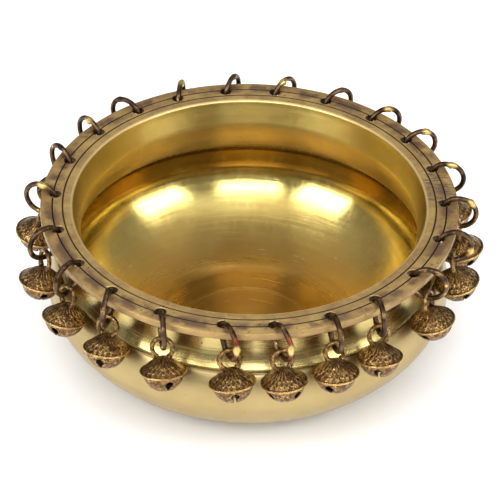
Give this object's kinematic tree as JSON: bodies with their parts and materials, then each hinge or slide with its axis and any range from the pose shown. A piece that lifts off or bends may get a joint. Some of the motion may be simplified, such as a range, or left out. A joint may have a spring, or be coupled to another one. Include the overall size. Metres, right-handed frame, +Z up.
{
  "type": "urli bowl",
  "caption": "Wide shallow brass festival bowl with a flat drilled rim, hung all round with small cast ghungroo bells on wire rings; holds water, flowers or floating lamps.",
  "frame": {"origin": "centre of the flat base, on the surface the bowl stands on", "axes": "+Z up along the bowl's axis of turning, +X to the right and -Y towards the viewer"},
  "size_m": [0.1852, 0.1847, 0.0719],
  "materials": {
    "turned_brass": "lathe-turned, polished inside, satin outside, lacquer-brown rim",
    "ring_wire": "dark aged round wire with brazed joints, worn bright on its high places",
    "cast_brass": "rough sand-cast, aged brown in the hollows",
    "pellet_iron": "dull dark shot"
  },
  "bodies": {
    "bowl": {"bowl": "turned_brass"},
    "ring_01": {"ring_01": "ring_wire"},
    "bell_01": {"bell_01": "cast_brass"},
    "ring_02": {"ring_02": "ring_wire"},
    "bell_02": {"bell_02": "cast_brass"},
    "ring_03": {"ring_03": "ring_wire"},
    "bell_03": {"bell_03": "cast_brass"},
    "ring_04": {"ring_04": "ring_wire"},
    "bell_04": {"bell_04": "cast_brass"},
    "ring_05": {"ring_05": "ring_wire"},
    "bell_05": {"bell_05": "cast_brass"},
    "ring_06": {"ring_06": "ring_wire"},
    "bell_06": {"bell_06": "cast_brass"},
    "ring_07": {"ring_07": "ring_wire"},
    "bell_07": {"bell_07": "cast_brass"},
    "pellet_07": {"pellet_07": "pellet_iron"},
    "ring_08": {"ring_08": "ring_wire"},
    "bell_08": {"bell_08": "cast_brass"},
    "pellet_08": {"pellet_08": "pellet_iron"},
    "ring_09": {"ring_09": "ring_wire"},
    "bell_09": {"bell_09": "cast_brass"},
    "pellet_09": {"pellet_09": "pellet_iron"},
    "ring_10": {"ring_10": "ring_wire"},
    "bell_10": {"bell_10": "cast_brass"},
    "pellet_10": {"pellet_10": "pellet_iron"},
    "ring_11": {"ring_11": "ring_wire"},
    "bell_11": {"bell_11": "cast_brass"},
    "pellet_11": {"pellet_11": "pellet_iron"},
    "ring_12": {"ring_12": "ring_wire"},
    "bell_12": {"bell_12": "cast_brass"},
    "pellet_12": {"pellet_12": "pellet_iron"},
    "ring_13": {"ring_13": "ring_wire"},
    "bell_13": {"bell_13": "cast_brass"},
    "pellet_13": {"pellet_13": "pellet_iron"},
    "ring_14": {"ring_14": "ring_wire"},
    "bell_14": {"bell_14": "cast_brass"},
    "pellet_14": {"pellet_14": "pellet_iron"},
    "ring_15": {"ring_15": "ring_wire"},
    "bell_15": {"bell_15": "cast_brass"},
    "pellet_15": {"pellet_15": "pellet_iron"},
    "ring_16": {"ring_16": "ring_wire"},
    "bell_16": {"bell_16": "cast_brass"},
    "pellet_16": {"pellet_16": "pellet_iron"},
    "ring_17": {"ring_17": "ring_wire"},
    "bell_17": {"bell_17": "cast_brass"},
    "pellet_17": {"pellet_17": "pellet_iron"},
    "ring_18": {"ring_18": "ring_wire"},
    "bell_18": {"bell_18": "cast_brass"},
    "pellet_18": {"pellet_18": "pellet_iron"},
    "ring_19": {"ring_19": "ring_wire"},
    "bell_19": {"bell_19": "cast_brass"},
    "ring_20": {"ring_20": "ring_wire"},
    "bell_20": {"bell_20": "cast_brass"},
    "ring_21": {"ring_21": "ring_wire"},
    "bell_21": {"bell_21": "cast_brass"},
    "ring_22": {"ring_22": "ring_wire"},
    "bell_22": {"bell_22": "cast_brass"}
  },
  "joints": [
    {"name": "ring_13_turn", "type": "hinge", "parent": "bowl", "child": "ring_13", "pos_m": [-0.00653, -0.08089, 0.0641], "axis": [-0.9053, -0.4248, 0], "range_deg": [0, 75]},
    {"name": "bell_13_swing", "type": "hinge", "parent": "ring_13", "child": "bell_13", "pos_m": [-0.00653, -0.08089, 0.0574], "axis": [0.4248, -0.9053, 0], "range_deg": [-30, 8]},
    {"name": "pellet_13_rattle", "type": "slide", "parent": "bell_13", "child": "pellet_13", "axis": [-0.1189, 0.2533, 0.96], "range_m": [0, 0.007]},
    {"name": "ring_12_turn", "type": "hinge", "parent": "bowl", "child": "ring_12", "pos_m": [0.01287, -0.08057, 0.0641], "axis": [-0.8704, -0.4924, 0], "range_deg": [0, 75]},
    {"name": "bell_12_swing", "type": "hinge", "parent": "ring_12", "child": "bell_12", "pos_m": [0.01287, -0.08057, 0.0574], "axis": [0.4924, -0.8704, 0], "range_deg": [-8, 5]},
    {"name": "pellet_12_rattle", "type": "slide", "parent": "bell_12", "child": "pellet_12", "axis": [-0.1066, 0.1885, 0.9763], "range_m": [0, 0.007]},
    {"name": "ring_11_turn", "type": "hinge", "parent": "bowl", "child": "ring_11", "pos_m": [0.03259, -0.07521, 0.0641], "axis": [-0.9518, -0.3068, 0], "range_deg": [0, 75]},
    {"name": "bell_11_swing", "type": "hinge", "parent": "ring_11", "child": "bell_11", "pos_m": [0.03259, -0.07521, 0.0574], "axis": [0.3068, -0.9518, 0], "range_deg": [-8, 5]},
    {"name": "pellet_11_rattle", "type": "slide", "parent": "bell_11", "child": "pellet_11", "axis": [-0.052, 0.1613, 0.9855], "range_m": [0, 0.007]},
    {"name": "ring_14_turn", "type": "hinge", "parent": "bowl", "child": "ring_14", "pos_m": [-0.03148, -0.07468, 0.0641], "axis": [-0.9883, -0.1525, 0], "range_deg": [0, 75]},
    {"name": "bell_14_swing", "type": "hinge", "parent": "ring_14", "child": "bell_14", "pos_m": [-0.03148, -0.07468, 0.0574], "axis": [0.1525, -0.9883, 0], "range_deg": [-30, 10]},
    {"name": "pellet_14_rattle", "type": "slide", "parent": "bell_14", "child": "pellet_14", "axis": [-0.0452, 0.293, 0.955], "range_m": [0, 0.007]},
    {"name": "ring_10_turn", "type": "hinge", "parent": "bowl", "child": "ring_10", "pos_m": [0.04907, -0.06509, 0.0641], "axis": [-0.9671, -0.2542, 0], "range_deg": [0, 75]},
    {"name": "bell_10_swing", "type": "hinge", "parent": "ring_10", "child": "bell_10", "pos_m": [0.04907, -0.06509, 0.0574], "axis": [0.2542, -0.9671, 0], "range_deg": [-8, 30]},
    {"name": "pellet_10_rattle", "type": "slide", "parent": "bell_10", "child": "pellet_10", "axis": [-0.0577, 0.2193, 0.9739], "range_m": [0, 0.007]},
    {"name": "ring_15_turn", "type": "hinge", "parent": "bowl", "child": "ring_15", "pos_m": [-0.0522, -0.06227, 0.0641], "axis": [-0.9778, 0.2095, 0], "range_deg": [0, 75]},
    {"name": "bell_15_swing", "type": "hinge", "parent": "ring_15", "child": "bell_15", "pos_m": [-0.0522, -0.06227, 0.0574], "axis": [-0.2095, -0.9778, 0], "range_deg": [-30, 30]},
    {"name": "pellet_15_rattle", "type": "slide", "parent": "bell_15", "child": "pellet_15", "axis": [0.0554, 0.2587, 0.9644], "range_m": [0, 0.007]},
    {"name": "ring_16_turn", "type": "hinge", "parent": "bowl", "child": "ring_16", "pos_m": [-0.06811, -0.04506, 0.0641], "axis": [-0.7885, 0.615, 0], "range_deg": [0, 75]},
    {"name": "bell_16_swing", "type": "hinge", "parent": "ring_16", "child": "bell_16", "pos_m": [-0.06811, -0.04506, 0.0574], "axis": [-0.615, -0.7885, 0], "range_deg": [-30, 30]},
    {"name": "pellet_16_rattle", "type": "slide", "parent": "bell_16", "child": "pellet_16", "axis": [0.1275, 0.1635, 0.9783], "range_m": [0, 0.007]},
    {"name": "ring_09_turn", "type": "hinge", "parent": "bowl", "child": "ring_09", "pos_m": [0.06817, -0.04483, 0.0641], "axis": [-0.2234, -0.9747, 0], "range_deg": [0, 75]},
    {"name": "bell_09_swing", "type": "hinge", "parent": "ring_09", "child": "bell_09", "pos_m": [0.06817, -0.04483, 0.0574], "axis": [0.9747, -0.2234, 0], "range_deg": [-30, 30]},
    {"name": "pellet_09_rattle", "type": "slide", "parent": "bell_09", "child": "pellet_09", "axis": [-0.2111, 0.0484, 0.9763], "range_m": [0, 0.007]},
    {"name": "ring_17_turn", "type": "hinge", "parent": "bowl", "child": "ring_17", "pos_m": [-0.07825, -0.02336, 0.0641], "axis": [-0.5762, 0.8173, 0], "range_deg": [0, 75]},
    {"name": "bell_17_swing", "type": "hinge", "parent": "ring_17", "child": "bell_17", "pos_m": [-0.07825, -0.02336, 0.0574], "axis": [-0.8173, -0.5762, 0], "range_deg": [-30, 30]},
    {"name": "pellet_17_rattle", "type": "slide", "parent": "bell_17", "child": "pellet_17", "axis": [0.1695, 0.1195, 0.9783], "range_m": [0, 0.007]},
    {"name": "ring_08_turn", "type": "hinge", "parent": "bowl", "child": "ring_08", "pos_m": [0.07884, -0.02128, 0.0641], "axis": [0.0603, -0.9982, 0], "range_deg": [0, 75]},
    {"name": "bell_08_swing", "type": "hinge", "parent": "ring_08", "child": "bell_08", "pos_m": [0.07884, -0.02128, 0.0574], "axis": [0.9982, 0.0603, 0], "range_deg": [-30, 20]},
    {"name": "pellet_08_rattle", "type": "slide", "parent": "bell_08", "child": "pellet_08", "axis": [-0.207, -0.0125, 0.9783], "range_m": [0, 0.007]},
    {"name": "ring_18_turn", "type": "hinge", "parent": "bowl", "child": "ring_18", "pos_m": [-0.0815, 0.00516, 0.0641], "axis": [0.3775, 0.926, 0], "range_deg": [0, 75]},
    {"name": "bell_18_swing", "type": "hinge", "parent": "ring_18", "child": "bell_18", "pos_m": [-0.0815, 0.00516, 0.0574], "axis": [-0.926, 0.3775, 0], "range_deg": [-30, 30]},
    {"name": "pellet_18_rattle", "type": "slide", "parent": "bell_18", "child": "pellet_18", "axis": [0.192, -0.0783, 0.9783], "range_m": [0, 0.007]},
    {"name": "ring_07_turn", "type": "hinge", "parent": "bowl", "child": "ring_07", "pos_m": [0.08195, 0.00034, 0.0641], "axis": [-0.125, -0.9922, 0], "range_deg": [0, 75]},
    {"name": "bell_07_swing", "type": "hinge", "parent": "ring_07", "child": "bell_07", "pos_m": [0.08195, 0.00034, 0.0574], "axis": [0.9922, -0.125, 0], "range_deg": [-20, 30]},
    {"name": "pellet_07_rattle", "type": "slide", "parent": "bell_07", "child": "pellet_07", "axis": [-0.1709, 0.0215, 0.985], "range_m": [0, 0.007]},
    {"name": "ring_01_turn", "type": "hinge", "parent": "bowl", "child": "ring_01", "pos_m": [-0.00814, 0.08074, 0.0641], "axis": [0.9135, -0.4067, 0], "range_deg": [0, 75]},
    {"name": "bell_01_swing", "type": "hinge", "parent": "ring_01", "child": "bell_01", "pos_m": [-0.00814, 0.08074, 0.0574], "axis": [0.4067, 0.9135, 0], "range_deg": [-15, 30]},
    {"name": "ring_02_turn", "type": "hinge", "parent": "bowl", "child": "ring_02", "pos_m": [0.01355, 0.08001, 0.0641], "axis": [0.7731, -0.6342, 0], "range_deg": [0, 75]},
    {"name": "bell_02_swing", "type": "hinge", "parent": "ring_02", "child": "bell_02", "pos_m": [0.01355, 0.08001, 0.0574], "axis": [0.6342, 0.7731, 0], "range_deg": [-15, 30]},
    {"name": "ring_03_turn", "type": "hinge", "parent": "bowl", "child": "ring_03", "pos_m": [0.03554, 0.07296, 0.0641], "axis": [0.5631, -0.8264, 0], "range_deg": [0, 75]},
    {"name": "bell_03_swing", "type": "hinge", "parent": "ring_03", "child": "bell_03", "pos_m": [0.03554, 0.07296, 0.0574], "axis": [0.8264, 0.5631, 0], "range_deg": [-15, 30]},
    {"name": "ring_04_turn", "type": "hinge", "parent": "bowl", "child": "ring_04", "pos_m": [0.05451, 0.06038, 0.0641], "axis": [0.3731, -0.9278, 0], "range_deg": [0, 75]},
    {"name": "bell_04_swing", "type": "hinge", "parent": "ring_04", "child": "bell_04", "pos_m": [0.05451, 0.06038, 0.0574], "axis": [0.9278, 0.3731, 0], "range_deg": [-15, 30]},
    {"name": "ring_05_turn", "type": "hinge", "parent": "bowl", "child": "ring_05", "pos_m": [0.06829, 0.04501, 0.0641], "axis": [0.3181, -0.9481, 0], "range_deg": [0, 75]},
    {"name": "bell_05_swing", "type": "hinge", "parent": "ring_05", "child": "bell_05", "pos_m": [0.06829, 0.04501, 0.0574], "axis": [0.9481, 0.3181, 0], "range_deg": [-30, 15]},
    {"name": "ring_06_turn", "type": "hinge", "parent": "bowl", "child": "ring_06", "pos_m": [0.07817, 0.02311, 0.0641], "axis": [-0.1014, -0.9948, 0], "range_deg": [0, 75]},
    {"name": "bell_06_swing", "type": "hinge", "parent": "ring_06", "child": "bell_06", "pos_m": [0.07817, 0.02311, 0.0574], "axis": [0.9948, -0.1014, 0], "range_deg": [-30, 30]},
    {"name": "ring_19_turn", "type": "hinge", "parent": "bowl", "child": "ring_19", "pos_m": [-0.07535, 0.03012, 0.0641], "axis": [0.7831, 0.6219, 0], "range_deg": [0, 75]},
    {"name": "bell_19_swing", "type": "hinge", "parent": "ring_19", "child": "bell_19", "pos_m": [-0.07535, 0.03012, 0.0574], "axis": [-0.6219, 0.7831, 0], "range_deg": [-15, 30]},
    {"name": "ring_20_turn", "type": "hinge", "parent": "bowl", "child": "ring_20", "pos_m": [-0.06515, 0.0496, 0.0641], "axis": [0.7479, 0.6638, 0], "range_deg": [0, 75]},
    {"name": "bell_20_swing", "type": "hinge", "parent": "ring_20", "child": "bell_20", "pos_m": [-0.06515, 0.0496, 0.0574], "axis": [-0.6638, 0.7479, 0], "range_deg": [-8, 20]},
    {"name": "ring_21_turn", "type": "hinge", "parent": "bowl", "child": "ring_21", "pos_m": [-0.05102, 0.06376, 0.0641], "axis": [0.5413, 0.8408, 0], "range_deg": [0, 75]},
    {"name": "bell_21_swing", "type": "hinge", "parent": "ring_21", "child": "bell_21", "pos_m": [-0.05102, 0.06376, 0.0574], "axis": [-0.8408, 0.5413, 0], "range_deg": [-30, 8]},
    {"name": "ring_22_turn", "type": "hinge", "parent": "bowl", "child": "ring_22", "pos_m": [-0.02924, 0.0757, 0.0641], "axis": [0.9887, -0.1502, 0], "range_deg": [0, 75]},
    {"name": "bell_22_swing", "type": "hinge", "parent": "ring_22", "child": "bell_22", "pos_m": [-0.02924, 0.0757, 0.0574], "axis": [0.1502, 0.9887, 0], "range_deg": [-15, 30]}
  ]
}
